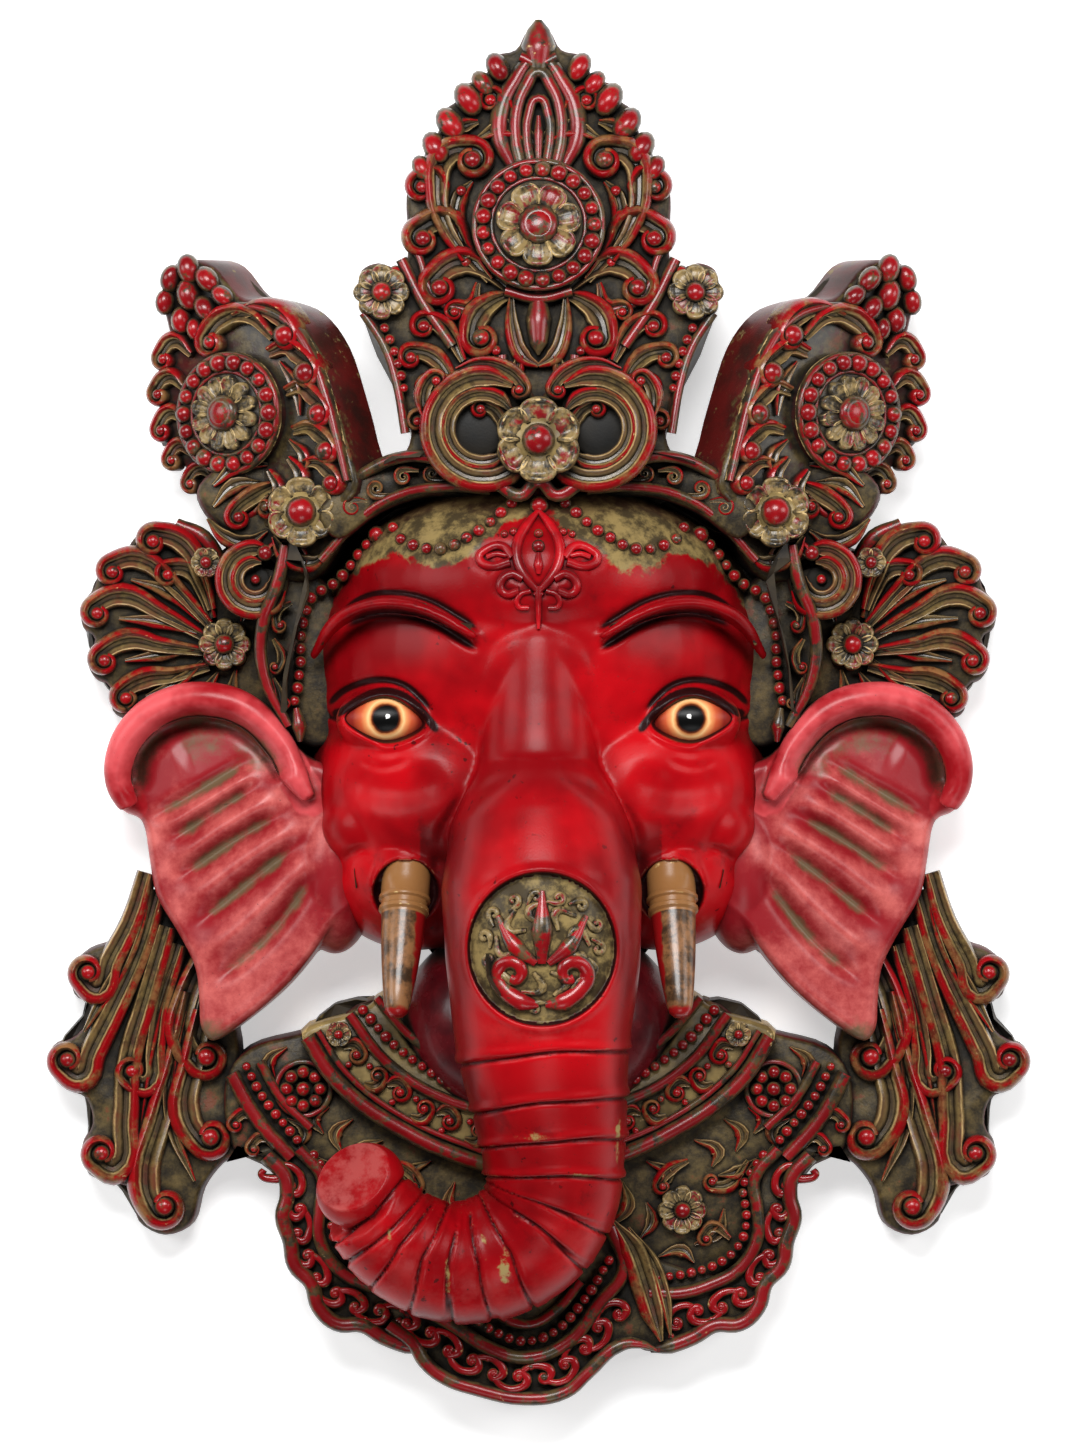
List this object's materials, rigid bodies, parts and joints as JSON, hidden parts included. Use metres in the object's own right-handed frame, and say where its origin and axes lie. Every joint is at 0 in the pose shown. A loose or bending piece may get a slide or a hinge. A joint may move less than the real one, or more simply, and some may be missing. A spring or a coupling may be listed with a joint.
{
  "type": "elephant deity wall mask",
  "caption": "Elephant-headed deity mask with a tall carved crown, wide ears, a curled trunk, tusks, flowing hair and a lobed collar, cast in relief with a flat hollow back.",
  "frame": {"origin": "on the flat back plane, under the middle of the outline", "axes": "+X to the viewer's right, +Y to the tip of the crown, +Z out of the face"},
  "size_m": [0.3305, 0.4641, 0.1129],
  "materials": {
    "red_lacquer": "gloss red lacquer worn back to bronze and black",
    "old_bronze": "worn bronze paint"
  },
  "bodies": {
    "root": {"mask": "red_lacquer", "tusk_left": "old_bronze", "tusk_right": "old_bronze"}
  },
  "joints": []
}
